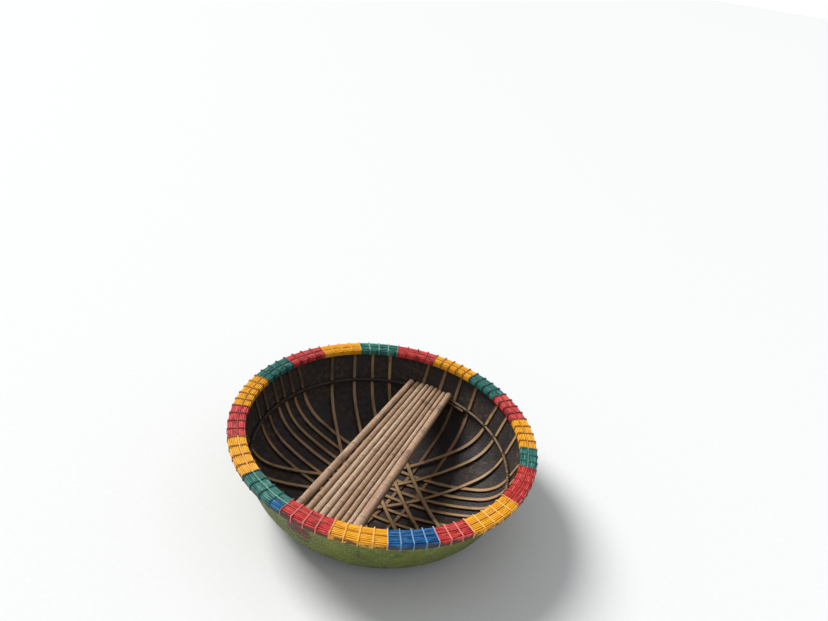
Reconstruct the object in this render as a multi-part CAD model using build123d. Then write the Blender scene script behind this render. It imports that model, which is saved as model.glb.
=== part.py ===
from build123d import *
from math import asin, cos, degrees, radians, sin, sqrt
import os

# A round basket boat of woven bamboo: a bowl of tarred mat, split bamboo ribs crossing on its floor,
# a hoop pole inside the wall, a bench of round poles on the hoop, and a rim of laths lashed with cord.
# Millimetres. The origin is on the axis at the waterline, +Z is up, and the bench runs along Y.

# Overall
rim_radius = 1000.0
hull_depth = 650.0
draft = 110.0
seat_gap = 0.3

# Woven mat: a bottom dome, a bilge and a leaning wall whose edge stands upright in the rim
mat_thickness = 8.0
bottom_radius = 1600.0
bilge_radius = 320.0
wall_lean = 17.5
knee_drop = 3.0

# Rim: standing laths on both sides of the mat's edge, with a flat cane capping the edge
rim_height = 42.0
lath_width = 10.0
inner_laths = 4
outer_laths = 5
cap_height = 8.0
edge_drop = 6.0
next_drop = 1.5

# Ribs of split bamboo, in four layers that cross on the floor and lie on the mat at the wall
rib_width = 25.0
rib_thickness = 7.0

# Lashings round the rim, a bay apart
cord_thickness = 4.0
cord_width = 5.0
bay_angle = 4.45

# Hoop pole and the short pole that splices its ends
hoop_drop = 249.0
hoop_pole_radius = 12.0
hoop_gap_middle = 86.0
hoop_gap_angle = 12.0
splice_angle = 34.0

# Ties that bind the hoop to the ribs: each crosses the hoop at a slant and goes down beside the rib.
# There is none where the bench bears on the hoop.
tie_thickness = 3.0
tie_reach = 27.0
untied_half_width = 250.0

# Bench poles
pole_wall = 6.0
pole_end_gap = 4.0
end_hollow = 45.0
node_rise = 1.5
node_length = 8.0
node_pitch = 310.0
node_end_clear = 60.0

rim_top = hull_depth + mat_thickness - draft
rim_underside = rim_top - rim_height
floor_level = rim_top - hull_depth
dome_centre = floor_level + bottom_radius
lath_pitch = lath_width + seat_gap

# Radii across the rim, from its outer face inwards
outer_bundle_inside = rim_radius - outer_laths * lath_pitch + seat_gap
mat_outside = outer_bundle_inside - seat_gap
mat_inside = mat_outside - mat_thickness
inner_bundle_outside = mat_inside - rib_thickness - 2 * seat_gap
rim_inside = inner_bundle_outside - inner_laths * lath_pitch + seat_gap
mat_top = rim_top - cap_height - seat_gap

lean = radians(wall_lean)
down_wall = Vector(-sin(lean), -cos(lean))
off_wall = Vector(-cos(lean), sin(lean))
wall_head = Vector(mat_inside, rim_underside - knee_drop)
hoop_clear = rib_thickness + 2 * seat_gap + hoop_pole_radius

# Each angle is one colour's stretch of the rim, anticlockwise from the first angle.
# The stretches follow each other, and each is divided into bays of lashing.
first_stretch_angle = 91.9
stretch_angles = (
    18.5, 18.0, 18.5, 17.8, 17.4, 20.8, 18.7, 19.9, 19.5, 17.5,
    18.2, 16.2, 12.3, 21.7, 20.3, 11.7, 18.5, 17.0, 17.0, 20.5,
)

# Rib sets from the lowest layer up: name, direction in degrees, distances from the axis
rib_sets = (
    ("rib_along", 83.0, (-240.0, -100.0, 40.0, 180.0)),
    ("rib_across", -1.5, (-178.0, -70.0, 45.0, 125.0, 210.0, 295.0)),
    ("rib_slant_right", 40.5, (-118.0, 70.0, 205.0)),
    ("rib_slant_left", -47.5, (-150.0, 30.0, 170.0, 300.0)),
)

# Bench poles from left to right: butt diameter at -Y, tip diameter at +Y,
# gap to the next pole at each end, and the distance of the first node from the butt
bench_poles = (
    (56.0, 46.0, 14.0, 6.0, 150.0),
    (44.0, 36.0, 2.5, 2.5, 260.0),
    (44.0, 36.0, 2.5, 2.5, 110.0),
    (44.0, 36.0, 2.5, 2.5, 210.0),
    (42.0, 36.0, 2.5, 2.5, 300.0),
    (40.0, 34.0, 2.5, 2.5, 130.0),
    (37.0, 32.0, 2.5, 2.5, 235.0),
    (36.0, 32.0, 2.5, 2.5, 170.0),
    (66.0, 50.0, 0.0, 0.0, 215.0),
)


def bowl(inset, rise, bilge):
    """Points of a half section parallel to the mat's inner face, from the rim's underside to the axis."""
    knee = wall_head + Vector(-inset, inset * (1 - cos(lean)) / sin(lean) * -cos(lean) + inset * sin(lean))
    reach = bottom_radius - rise - bilge
    start = wall_head + off_wall * (inset + bilge) - Vector(0, dome_centre)
    along = start.dot(down_wall)
    run = -along + sqrt(along**2 + reach**2 - start.dot(start))
    centre = wall_head + off_wall * (inset + bilge) + down_wall * run
    outward = (centre - Vector(0, dome_centre)).normalized()
    wall_foot = centre - off_wall * bilge
    bilge_middle = centre + (outward - off_wall).normalized() * bilge
    dome_edge = centre + outward * bilge
    dome_middle = Vector(0, dome_centre) + (outward + Vector(0, -1)).normalized() * (bottom_radius - rise)
    bottom = Vector(0, floor_level + rise)
    return knee, wall_foot, bilge_middle, dome_edge, dome_middle, bottom


def upright(point):
    return Vector(point.X, 0, point.Y)


def shell(outside, inside, top_outside, top_inside):
    """Ring solid between two half sections, closed at the top and on the axis."""
    edges = []
    for (knee, wall_foot, bilge_middle, dome_edge, dome_middle, bottom), top in (
        (outside, top_outside),
        (inside, top_inside),
    ):
        edges.append(Line(upright(Vector(knee.X, top)), upright(knee)))
        edges.append(Line(upright(knee), upright(wall_foot)))
        edges.append(ThreePointArc(upright(wall_foot), upright(bilge_middle), upright(dome_edge)))
        edges.append(ThreePointArc(upright(dome_edge), upright(dome_middle), upright(bottom)))
    edges.append(Line(upright(Vector(outside[0].X, top_outside)), upright(Vector(inside[0].X, top_inside))))
    edges.append(Line(upright(outside[-1]), upright(inside[-1])))
    return revolve(make_face(edges), Axis.Z, 360)


def ring(inside_radius, width, bottom, top):
    """Flat-sided ring that stands on its edge."""
    centre = Pos(inside_radius + width / 2, 0, (bottom + top) / 2)
    return revolve(centre * Rot(90, 0, 0) * Rectangle(width, top - bottom), Axis.Z, 360)


def write(name, shape):
    shape.label = name
    export_step(shape, f"parts/{name}.step")


def hull_mat():
    inside = bowl(0, 0, bilge_radius)
    outside = bowl(-mat_thickness, -mat_thickness, bilge_radius + mat_thickness)
    return shell(outside, inside, mat_top, mat_top)


def rim_laths(inside_radius, drops):
    """Standing laths side by side: the ones at the rim's edge sit lower, which rounds the rim."""
    laths = []
    for step, drop in enumerate(drops):
        laths.append(ring(inside_radius + step * lath_pitch, lath_width, rim_underside, rim_top - drop))
    return Compound(children=laths)


def rim_cap():
    width = outer_bundle_inside - inner_bundle_outside - 2 * seat_gap
    return ring(inner_bundle_outside + seat_gap, width, rim_top - cap_height, rim_top)


def lash_angles():
    angles = []
    angle = first_stretch_angle
    for width in stretch_angles:
        bays = round(width / bay_angle)
        for bay in range(bays):
            angles.append(angle + width * bay / bays)
        angle += width
    return angles


def lash_loop(clear):
    """Half turn of cord round the rim's section, at a distance from the laths: its corner points."""
    low = rim_underside - clear
    side_top = rim_top - edge_drop + clear / 2
    shoulder = lath_width
    return (
        Vector(inner_bundle_outside - cord_thickness, low),
        Vector(rim_inside - clear, low),
        Vector(rim_inside - clear, side_top),
        Vector(rim_inside + shoulder - clear / 2, rim_top + clear),
        Vector(rim_radius - shoulder + clear / 2, rim_top + clear),
        Vector(rim_radius + clear, side_top),
        Vector(rim_radius + clear, low),
        Vector(mat_outside + seat_gap, low),
    )


def rim_lashings():
    near = lash_loop(seat_gap)
    far = lash_loop(seat_gap + cord_thickness)
    outline = [upright(point) for point in near + far[::-1]]
    loop = extrude(make_face(Polyline(*outline, close=True)), cord_width / 2, both=True)
    return Compound(children=[Rot(0, 0, angle) * loop for angle in lash_angles()])


def rib_layer(layer):
    """The space that one layer of ribs fills: raised on the floor by the layers below it."""
    lift = seat_gap + layer * (rib_thickness + seat_gap)
    under = bowl(seat_gap, lift, bilge_radius - seat_gap)
    over = bowl(seat_gap + rib_thickness, lift + rib_thickness, bilge_radius - seat_gap - rib_thickness)
    return shell(under, over, mat_top, mat_top)


def rib(layer_space, direction, distance):
    """One strip of the layer, in the upright plane at this direction and distance from the axis."""
    height = hull_depth + mat_thickness
    strip = Box(2 * rim_radius, rib_width, height)
    return layer_space & (Rot(0, 0, direction) * Pos(0, distance, floor_level + height / 2) * strip)


def hoop_seat(steps_up):
    """Centre of a pole that lies on the ribs at the wall, this many pole widths above the hoop."""
    level = rim_top - hoop_drop
    run = (wall_head.Y - level + hoop_clear * sin(lean)) / cos(lean)
    run -= steps_up * (2 * hoop_pole_radius + seat_gap)
    return wall_head + off_wall * hoop_clear + down_wall * run


def hoop_arc(steps_up, start_angle, sweep_angle):
    seat = hoop_seat(steps_up)
    section = Pos(seat.X, 0, seat.Y) * Rot(90, 0, 0) * Circle(hoop_pole_radius)
    return Rot(0, 0, start_angle) * revolve(section, Axis.Z, sweep_angle)


def tie_angles(wall_radius):
    """Where the ribs pass under the hoop, clear of the bench."""
    angles = []
    for _, direction, distances in rib_sets:
        for distance in distances:
            aside = degrees(asin(distance / wall_radius))
            for angle in (direction + aside, direction + 180 - aside):
                if abs(wall_radius * cos(radians(angle))) > untied_half_width:
                    angles.append(angle)
    return angles


def bowl_room(clear):
    """All the space inside the mat that stays this far from it."""
    knee, wall_foot, bilge_middle, dome_edge, dome_middle, bottom = bowl(clear, clear, bilge_radius - clear)
    edges = [
        Line(upright(Vector(0, mat_top)), upright(Vector(knee.X, mat_top))),
        Line(upright(Vector(knee.X, mat_top)), upright(knee)),
        Line(upright(knee), upright(wall_foot)),
        ThreePointArc(upright(wall_foot), upright(bilge_middle), upright(dome_edge)),
        ThreePointArc(upright(dome_edge), upright(dome_middle), upright(bottom)),
        Line(upright(bottom), upright(Vector(0, mat_top))),
    ]
    return revolve(make_face(edges), Axis.Z, 360)


def hoop_ties():
    """Turns of cord over the hoop, drawn in the slanting plane that each one lies in."""
    foot = hoop_seat(0) - off_wall * hoop_clear
    low = 2 * seat_gap
    side = hoop_clear
    top = hoop_clear + hoop_pole_radius + seat_gap
    thick = tie_thickness
    outline = (
        (-tie_reach, low),
        (-tie_reach, side),
        (-tie_reach / 2, top),
        (tie_reach / 2, top),
        (tie_reach, side),
        (tie_reach, low),
        (tie_reach + thick, low),
        (tie_reach + thick, side + thick / 2),
        (tie_reach / 2 + thick / 2, top + thick),
        (-tie_reach / 2 - thick / 2, top + thick),
        (-tie_reach - thick, side + thick / 2),
        (-tie_reach - thick, low),
    )
    loop = extrude(make_face(Polyline(*outline, close=True)), thick / 2, both=True)
    slant = (Vector(0, 1, 0) - upright(down_wall)).normalized()
    place = Plane(origin=upright(foot), x_dir=slant, z_dir=slant.cross(upright(off_wall)))
    tie = (place.location * loop) & bowl_room(2 * seat_gap)
    return Compound(children=[Rot(0, 0, angle) * tie for angle in tie_angles(foot.X)])


def pole_half_length(x_place, radius):
    """How far a bench pole reaches from the middle before its end meets the ribs on the wall."""
    seat = hoop_seat(0)
    low = seat.Y + hoop_pole_radius + seat_gap
    run = (wall_head.Y - low) / cos(lean)
    wall = (wall_head + down_wall * run).X - (rib_thickness + 2 * seat_gap) / cos(lean) - pole_end_gap
    return sqrt(wall**2 - (abs(x_place) + radius) ** 2)


def places_across(diameters, gaps):
    """Centres of round poles laid side by side, centred on the axis."""
    width = sum(diameters) + sum(gaps)
    edge = -width / 2
    places = []
    for diameter, gap in zip(diameters, gaps):
        places.append(edge + diameter / 2)
        edge += diameter + gap
    return places


def bench_pole(butt_place, tip_place, butt_diameter, tip_diameter, first_node):
    butt_radius = butt_diameter / 2
    tip_radius = tip_diameter / 2
    half = min(pole_half_length(butt_place, butt_radius), pole_half_length(tip_place, tip_radius))
    length = 2 * half
    nodes = [first_node]
    while nodes[-1] + node_pitch < length - node_end_clear:
        nodes.append(nodes[-1] + node_pitch)
    outline = [(0, 0)]
    start = 0
    for number, node in enumerate(nodes):
        radius = butt_radius + (tip_radius - butt_radius) * number / len(nodes)
        outline.append((radius, start))
        outline.append((radius, node - node_length))
        outline.append((radius + node_rise, node))
        start = node + node_length
    outline += [(tip_radius, start), (tip_radius, length), (0, length)]
    points = [Vector(radius, 0, along) for radius, along in outline]
    pole = revolve(make_face(Polyline(*points, close=True)), Axis.Z, 360)
    for radius, along in ((butt_radius, end_hollow / 2), (tip_radius, length - end_hollow / 2)):
        pole -= Pos(0, 0, along) * Cylinder(radius - pole_wall, end_hollow)
    level = hoop_seat(0).Y + hoop_pole_radius + seat_gap
    butt = Vector(butt_place, -half, level + butt_radius)
    tip = Vector(tip_place, half, level + tip_radius)
    return Plane(origin=butt, x_dir=(1, 0, 0), z_dir=tip - butt).location * pole


def bench():
    butts = [row[0] for row in bench_poles]
    tips = [row[1] for row in bench_poles]
    butt_places = places_across(butts, [row[2] for row in bench_poles])
    tip_places = places_across(tips, [row[3] for row in bench_poles])
    for number, row in enumerate(bench_poles):
        butt_diameter, tip_diameter, _, _, first_node = row
        pole = bench_pole(butt_places[number], tip_places[number], butt_diameter, tip_diameter, first_node)
        yield f"bench_pole_{number + 1}", pole


os.makedirs("parts", exist_ok=True)
write("hull_mat", hull_mat())
edge_drops = [edge_drop, next_drop]
inner_drops = edge_drops + [0] * (inner_laths - len(edge_drops))
outer_drops = [0] * (outer_laths - len(edge_drops)) + edge_drops[::-1]
write("rim_laths_inner", rim_laths(rim_inside, inner_drops))
write("rim_laths_outer", rim_laths(outer_bundle_inside, outer_drops))
write("rim_cap", rim_cap())
write("rim_lashings", rim_lashings())
for layer, (name, direction, distances) in enumerate(rib_sets):
    layer_space = rib_layer(layer)
    for number, distance in enumerate(distances):
        write(f"{name}_{number + 1}", rib(layer_space, direction, distance))
hoop_start = hoop_gap_middle + hoop_gap_angle / 2
write("hoop_pole", hoop_arc(0, hoop_start, 360 - hoop_gap_angle))
write("hoop_splice", hoop_arc(-1, hoop_gap_middle - splice_angle / 2, splice_angle))
write("hoop_ties", hoop_ties())
for name, pole in bench():
    write(name, pole)
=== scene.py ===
# %% [markdown]
# # A round basket boat, dressed on its CAD frame
# The solids of this boat hold every size. Here each of them gets its looks: the woven mat, the split
# bamboo, the painted rim and the cords. The frame is loaded first, because every piece is placed by it.

# %% Load the frame
import math
import random

import bmesh
import bpy
import numpy as np
from mathutils import Matrix, Vector


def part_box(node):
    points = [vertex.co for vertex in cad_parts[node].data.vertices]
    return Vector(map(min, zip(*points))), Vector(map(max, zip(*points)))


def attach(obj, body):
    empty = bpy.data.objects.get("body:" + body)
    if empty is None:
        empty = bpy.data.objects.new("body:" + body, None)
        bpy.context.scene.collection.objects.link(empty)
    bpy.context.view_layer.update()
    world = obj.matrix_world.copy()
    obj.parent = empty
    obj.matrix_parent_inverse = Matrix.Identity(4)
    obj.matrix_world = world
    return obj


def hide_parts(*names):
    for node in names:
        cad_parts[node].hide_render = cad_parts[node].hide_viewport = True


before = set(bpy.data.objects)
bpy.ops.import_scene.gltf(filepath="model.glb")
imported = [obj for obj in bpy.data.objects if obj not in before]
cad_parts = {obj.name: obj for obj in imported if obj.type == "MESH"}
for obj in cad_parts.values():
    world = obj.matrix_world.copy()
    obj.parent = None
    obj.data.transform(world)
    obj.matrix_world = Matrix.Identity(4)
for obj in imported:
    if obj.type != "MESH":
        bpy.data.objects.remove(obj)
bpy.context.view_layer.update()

# %% [markdown]
# ## Sizes read from the frame
# The rim is the datum of the boat: the mat hangs in it, and the ribs run up under it. Its radii and
# levels come from the boxes of the CAD nodes, so a change of the solids moves the looks with them.

# %% Rim and hull sizes
rim_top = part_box("rim_cap")[1].z
rim_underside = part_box("rim_laths_outer")[0].z
rim_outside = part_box("rim_laths_outer")[1].x
hull_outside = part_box("hull_mat")[1].x
hull_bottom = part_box("hull_mat")[0].z
mat_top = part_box("hull_mat")[1].z
mat_thickness = 0.008
waterline = 0.0
print("rim top", round(rim_top, 4), "radius", round(rim_outside, 4), "hull bottom", round(hull_bottom, 4))


def cad_points(node):
    """The places of a CAD node's vertices, each once."""
    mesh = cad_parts[node].data
    flat = np.empty(len(mesh.vertices) * 3, np.float32)
    mesh.vertices.foreach_get("co", flat)
    return np.unique(flat.reshape(-1, 3).round(6), axis=0)


def vert_places(obj):
    """The places of an object's vertices, in their order."""
    flat = np.empty(len(obj.data.vertices) * 3, np.float32)
    obj.data.vertices.foreach_get("co", flat)
    return flat.reshape(-1, 3).astype(np.float64)


def azimuth(points):
    """The angle of each point round the boat's axis, 0 to 360 degrees."""
    return np.degrees(np.arctan2(points[:, 1], points[:, 0])) % 360


# %% [markdown]
# ## Camera
# The photograph looks down on the boat from 38 degrees above its rim, a little rolled. Its lens isn't
# known. The focal length is taken as 670 of the photograph's pixels, and the rim then gives the view.

# %% Camera
photo_width = 828
focal_pixels = 670.0
sensor_width = 36.0
camera_place = Vector((1.2265, -3.2805, 3.2812))
camera_right = Vector((0.90417, 0.40224, 0.14383))
camera_up = Vector((-0.30917, 0.38382, 0.87011))

camera_data = bpy.data.cameras.new("camera")
camera_data.sensor_width = sensor_width
camera_data.lens = focal_pixels / photo_width * sensor_width
camera = bpy.data.objects.new("camera", camera_data)
bpy.context.scene.collection.objects.link(camera)
camera_axes = Matrix((camera_right, camera_up, camera_right.cross(camera_up))).transposed()
camera.matrix_world = Matrix.Translation(camera_place) @ camera_axes.to_4x4()
bpy.context.scene.camera = camera
print("lens", round(camera_data.lens, 2), "mm")

# %% [markdown]
# ## Working by hand in edit mode
# Most pieces below start as a primitive and are shaped with mesh operators. An operator works on what is
# selected, so these helpers select one object alone, and pick its points or faces by a test.

# %% Selecting and shaping
weld_distance = 0.00002


def take(obj):
    """Select one object alone and make it active."""
    bpy.ops.object.select_all(action="DESELECT")
    obj.select_set(True)
    bpy.context.view_layer.objects.active = obj
    return obj


def open_mesh(obj):
    take(obj)
    bpy.ops.object.mode_set(mode="EDIT")
    bpy.ops.mesh.select_mode(type="VERT")
    bpy.ops.mesh.select_all(action="DESELECT")


def pick(obj, parts, wanted):
    """In edit mode, select the verts, edges or faces that pass a test."""
    bpy.ops.mesh.select_mode(type={"verts": "VERT", "edges": "EDGE", "faces": "FACE"}[parts])
    bpy.ops.mesh.select_all(action="DESELECT")
    shape = bmesh.from_edit_mesh(obj.data)
    for part in getattr(shape, parts):
        if wanted(part):
            part.select_set(True)
    shape.select_flush_mode()
    bmesh.update_edit_mesh(obj.data)


def close_mesh():
    bpy.ops.object.mode_set(mode="OBJECT")


def spin_round(obj, steps, first_angle, sweep):
    """Spin a section that stands at azimuth 0 round the boat's axis, and turn it to its first angle."""
    open_mesh(obj)
    bpy.ops.mesh.select_all(action="SELECT")
    bpy.ops.mesh.spin(steps=steps, angle=math.radians(sweep), center=(0, 0, 0), axis=(0, 0, 1))
    close_mesh()
    turn_outwards(obj)
    middle = vert_places(obj).mean(axis=0)
    obj.rotation_euler.z = math.radians(first_angle + sweep / 2) - math.atan2(middle[1], middle[0])
    settle(obj)


def settle(obj):
    """Put an object's place and turn into its mesh."""
    take(obj)
    bpy.ops.object.transform_apply(location=True, rotation=True, scale=True)


def turn_outwards(obj):
    """Merge doubles and point the faces outwards."""
    open_mesh(obj)
    bpy.ops.mesh.select_all(action="SELECT")
    bpy.ops.mesh.remove_doubles(threshold=weld_distance)
    bpy.ops.mesh.normals_make_consistent(inside=False)
    close_mesh()


def apply_modifiers(obj):
    take(obj)
    for modifier in list(obj.modifiers):
        bpy.ops.object.modifier_apply(modifier=modifier.name)


def own_copy(obj, name):
    """A copy of a piece with a mesh of its own."""
    twin = obj.copy()
    twin.data = obj.data.copy()
    twin.name = name
    bpy.context.scene.collection.objects.link(twin)
    return twin


def join_pieces(pieces, name):
    bpy.ops.object.select_all(action="DESELECT")
    for piece in pieces:
        piece.select_set(True)
    bpy.context.view_layer.objects.active = pieces[0]
    bpy.ops.object.join()
    pieces[0].name = name
    return pieces[0]


def smooth(obj, angle=35):
    take(obj)
    bpy.ops.object.shade_smooth_by_angle(angle=math.radians(angle))


def fit_out(obj, finishes, nodes):
    """Give a finished piece its materials, its place on the boat and the CAD nodes that it stands for."""
    obj.data.materials.clear()
    for finish in finishes:
        obj.data.materials.append(finish)
    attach(obj, "root")
    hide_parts(*nodes)
    print(obj.name, len(obj.data.polygons), "faces")


# %% [markdown]
# ## Building materials from nodes
# A finish is a small graph of nodes ending in one shader. These helpers keep the graphs short: each adds
# one node and joins what it is given, whether a number, a colour or another node's output.

# %% Node helpers
def paint(red, green, blue):
    """A colour read on a screen, 0 to 255, as the linear colour that a shader takes."""
    shares = [value / 255 for value in (red, green, blue)]
    linear = [share / 12.92 if share < 0.04 else ((share + 0.055) / 1.055) ** 2.4 for share in shares]
    return (*linear, 1)


class Finish:
    """One material and its node graph."""

    def __init__(self, name):
        self.material = bpy.data.materials.new(name)
        self.material.use_nodes = True
        self.tree = self.material.node_tree
        self.shader = self.tree.nodes["Principled BSDF"]
        self.place = self.tree.nodes.new("ShaderNodeTexCoord").outputs["Object"]

    def join(self, socket, value):
        if isinstance(value, bpy.types.NodeSocket):
            self.tree.links.new(value, socket)
        else:
            socket.default_value = value

    def math(self, operation, first, second=0.0):
        node = self.tree.nodes.new("ShaderNodeMath")
        node.operation = operation
        self.join(node.inputs[0], first)
        self.join(node.inputs[1], second)
        return node.outputs[0]

    def plus(self, first, second):
        return self.math("ADD", first, second)

    def minus(self, first, second):
        return self.math("SUBTRACT", first, second)

    def times(self, first, second):
        return self.math("MULTIPLY", first, second)

    def off(self, value, middle):
        """How far a value lies from a middle, to either side."""
        return self.math("ABSOLUTE", self.minus(value, middle))

    def parts(self, vector):
        """The x, y and z of a vector."""
        node = self.tree.nodes.new("ShaderNodeSeparateXYZ")
        self.join(node.inputs[0], vector)
        return node.outputs[0], node.outputs[1], node.outputs[2]

    def whole(self, x, y, z):
        """A vector from its x, y and z."""
        node = self.tree.nodes.new("ShaderNodeCombineXYZ")
        for socket, value in zip(node.inputs, (x, y, z)):
            self.join(socket, value)
        return node.outputs[0]

    def map_of(self, name):
        """The two parts of a UV map."""
        node = self.tree.nodes.new("ShaderNodeUVMap")
        node.uv_map = name
        return self.parts(node.outputs[0])[:2]

    def stretch(self, vector, x, y, z):
        """Scale a vector's parts, which stretches a pattern along the smallest."""
        node = self.tree.nodes.new("ShaderNodeMapping")
        self.join(node.inputs["Vector"], vector)
        node.inputs["Scale"].default_value = (x, y, z)
        return node.outputs[0]

    def noise(self, vector, scale=1.0, detail=3.0, roughness=0.55):
        node = self.tree.nodes.new("ShaderNodeTexNoise")
        self.join(node.inputs["Vector"], vector)
        for name, number in (("Scale", scale), ("Detail", detail), ("Roughness", roughness)):
            node.inputs[name].default_value = number
        return node.outputs[0]

    def grain(self, along, across, along_scale, across_scale, seed=0.0, detail=3.0, roughness=0.55):
        """Noise with one scale along a piece and another across it. Another seed gives another pattern."""
        scaled_along = self.times(along, along_scale)
        scaled_across = self.times(across, across_scale)
        return self.noise(self.whole(scaled_along, scaled_across, seed), 1.0, detail, roughness)

    def chance(self, vector):
        """A random number for each whole-numbered place."""
        node = self.tree.nodes.new("ShaderNodeTexWhiteNoise")
        self.join(node.inputs["Vector"], vector)
        return node.outputs["Value"]

    def span(self, value, low, high, to_low=0.0, to_high=1.0):
        """Carry a value's range onto another, and stop at its ends."""
        node = self.tree.nodes.new("ShaderNodeMapRange")
        node.interpolation_type = "SMOOTHSTEP"
        self.join(node.inputs["Value"], value)
        for name, number in (("From Min", low), ("From Max", high), ("To Min", to_low), ("To Max", to_high)):
            node.inputs[name].default_value = number
        return node.outputs["Result"]

    def ramp(self, factor, stops):
        """A colour for a factor of 0 to 1, from stops of a position and a colour."""
        node = self.tree.nodes.new("ShaderNodeValToRGB")
        elements = node.color_ramp.elements
        while len(elements) < len(stops):
            elements.new(0.5)
        for element, (at, colour) in zip(elements, stops):
            element.position = at
            element.color = colour
        self.join(node.inputs[0], factor)
        return node.outputs[0]

    def mix(self, factor, first, second):
        node = self.tree.nodes.new("ShaderNodeMix")
        node.data_type = "RGBA"
        self.join(node.inputs["Factor"], factor)
        self.join(node.inputs[6], first)
        self.join(node.inputs[7], second)
        return node.outputs[2]

    def cover(self, colour, tone, value, start, full, most=1.0):
        """Lay a tone over a colour, from where a value starts to where it is full, and at most so much."""
        return self.mix(self.span(value, start, full, 0.0, most), colour, tone)

    def bump(self, height, depth, strength):
        """Relief from a height of 0 to 1, as deep as given in metres."""
        node = self.tree.nodes.new("ShaderNodeBump")
        node.inputs["Strength"].default_value = strength
        node.inputs["Distance"].default_value = depth
        self.join(node.inputs["Height"], height)
        return node.outputs[0]

    def round_the_boat(self):
        """The share of a turn from the first stretch, the distance from the axis, and the height."""
        x, y, z = self.parts(self.place)
        cosine = math.cos(math.radians(first_stretch_angle))
        sine = math.sin(math.radians(first_stretch_angle))
        turned_x = self.plus(self.times(x, cosine), self.times(y, sine))
        turned_y = self.minus(self.times(y, cosine), self.times(x, sine))
        angle = self.math("ARCTAN2", turned_y, turned_x)
        turn = self.math("FRACT", self.plus(self.math("DIVIDE", angle, 2 * math.pi), 1.0))
        flat = self.whole(x, y, 0.0)
        node = self.tree.nodes.new("ShaderNodeVectorMath")
        node.operation = "LENGTH"
        self.join(node.inputs[0], flat)
        return turn, node.outputs["Value"], z

    def shade(self, colour, roughness, normal=None):
        """Join the finished colour, roughness and relief to the shader."""
        self.join(self.shader.inputs["Base Color"], colour)
        self.join(self.shader.inputs["Roughness"], roughness)
        if normal is not None:
            self.join(self.shader.inputs["Normal"], normal)
        return self.material


# %% [markdown]
# ## The mat's shape
# The real hull is a flat square mat, woven first and then pressed into a pit until it is a bowl. The
# bowl's half section is a bottom dome, a bilge arc and a leaning wall. Here it is walked from the middle
# outwards, so that a length measured on the flat mat gives a place on the bowl.

# %% Half section of the mat's middle surface
bottom_radius = 1.6
bilge_radius = 0.32
wall_lean = math.radians(17.5)
knee_drop = 0.003
mat_half = mat_thickness / 2

down_wall = Vector((-math.sin(wall_lean), -math.cos(wall_lean)))
off_wall = Vector((-math.cos(wall_lean), math.sin(wall_lean)))
wall_head = Vector((hull_outside - mat_thickness, rim_underside - knee_drop))
dome_centre = Vector((0, hull_bottom + mat_thickness + bottom_radius))
start = wall_head + off_wall * bilge_radius - dome_centre
along_wall = start.dot(down_wall)
bilge_reach = bottom_radius - bilge_radius
run = math.sqrt(along_wall**2 + bilge_reach**2 - start.length_squared) - along_wall
bilge_centre = wall_head + off_wall * bilge_radius + down_wall * run
join_angle = math.atan2(bilge_centre.y - dome_centre.y, bilge_centre.x)


def arc(centre, radius, first, last, count=200):
    """Points on an arc, from a first to a last angle."""
    angles = np.linspace(first, last, count)
    return np.stack((centre.x + radius * np.cos(angles), centre.y + radius * np.sin(angles)), axis=1)


section = np.concatenate((
    arc(dome_centre, bottom_radius + mat_half, -math.pi / 2, join_angle),
    arc(bilge_centre, bilge_radius + mat_half, join_angle, -wall_lean)[1:],
    [(hull_outside - mat_half, rim_underside - knee_drop), (hull_outside - mat_half, mat_top)],
))
section_length = np.concatenate(([0], np.cumsum(np.linalg.norm(np.diff(section, axis=0), axis=1))))
mat_reach = section_length[-1]
water_radius = float(np.interp(waterline, section[:, 1], section[:, 0]))
print("middle to the mat's edge", round(mat_reach, 3), "radius at the water", round(water_radius, 3))

# %% [markdown]
# ## Weaving the mat
# One strip is modelled for one repeat of the weave: over two, under two. Arrays carry it on along its
# length, then across to its three neighbours, each a step further on, and then over the whole mat. The
# second set is the same strip turned a quarter, and starts one step along so that it goes under where
# the first goes over. The flat weave is then cut to a round blank.

# %% One repeat of a strip
strip_pitch = 0.0205
strip_width = 0.0187
strip_thickness = 0.0026
strip_lift = 0.0015
repeat = 4 * strip_pitch
edge_inset = 0.006
blank_sides = 32


def strip_repeat(name):
    """Four crossings of one strip along X: two over and two under."""
    bpy.ops.object.select_all(action="DESELECT")
    bpy.ops.mesh.primitive_cube_add(size=1, location=(repeat / 2 + strip_pitch / 2, 0, 0))
    strip = bpy.context.object
    strip.name = name
    strip.scale = (repeat, strip_width, strip_thickness)
    settle(strip)
    open_mesh(strip)
    pick(strip, "faces", lambda face: abs(face.normal.x) > 0.5)
    bpy.ops.mesh.delete(type="ONLY_FACE")
    pick(strip, "edges", lambda edge: edge.calc_length() > repeat / 2)
    bpy.ops.mesh.subdivide(number_cuts=3)
    pick(strip, "verts", lambda vert: abs(vert.co.x - strip_pitch * 3) < strip_pitch)
    bpy.ops.transform.translate(value=(0, 0, -2 * strip_lift))
    bpy.ops.mesh.select_all(action="SELECT")
    bpy.ops.transform.translate(value=(0, 0, strip_lift))
    close_mesh()
    return strip


def carry_on(strip, count, step, merge=False):
    """Repeat a strip by an even step."""
    array = strip.modifiers.new("carry_on", "ARRAY")
    array.count = count
    array.use_relative_offset = False
    array.use_constant_offset = True
    array.constant_offset_displace = step
    array.use_merge_vertices = merge
    array.merge_threshold = 0.0001


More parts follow.
